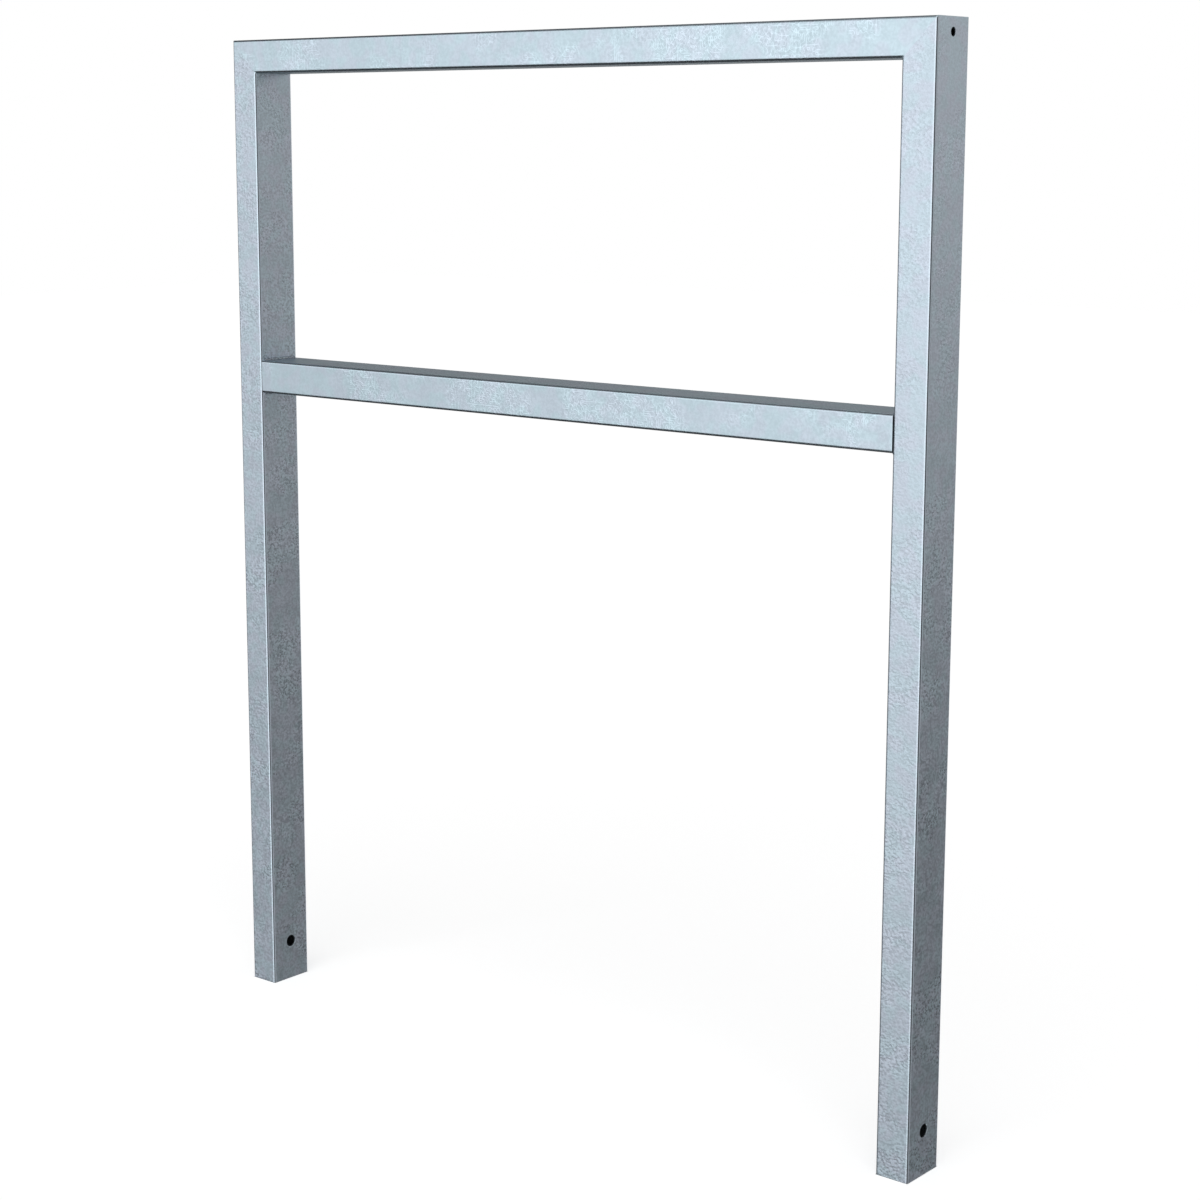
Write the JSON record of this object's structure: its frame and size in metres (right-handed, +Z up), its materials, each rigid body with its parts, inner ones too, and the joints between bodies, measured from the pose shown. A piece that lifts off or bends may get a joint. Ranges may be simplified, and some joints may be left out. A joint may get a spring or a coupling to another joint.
{
  "type": "hoop bike rack",
  "caption": "Rectangular hoop bike rack of galvanised rectangular tube with a cross rail, for setting in the ground.",
  "frame": {"origin": "midway between the two posts, at the level of their lower ends", "axes": "+X along the rack from the left post to the right post, +Y through it towards the back, +Z up"},
  "size_m": [1, 0.06, 1.2],
  "materials": {
    "galvanised_tube": "hot-dip galvanised, matt, with a fine mottle",
    "galvanised_weld": "weld bead under the same zinc coat"
  },
  "bodies": {
    "root": {"left_post": "galvanised_tube", "right_post": "galvanised_tube", "top_rail": "galvanised_tube", "mid_rail": "galvanised_tube", "left_corner_weld": "galvanised_weld", "right_corner_weld": "galvanised_weld", "left_upper_fillet_weld": "galvanised_weld", "left_lower_fillet_weld": "galvanised_weld", "right_upper_fillet_weld": "galvanised_weld", "right_lower_fillet_weld": "galvanised_weld"}
  },
  "joints": []
}
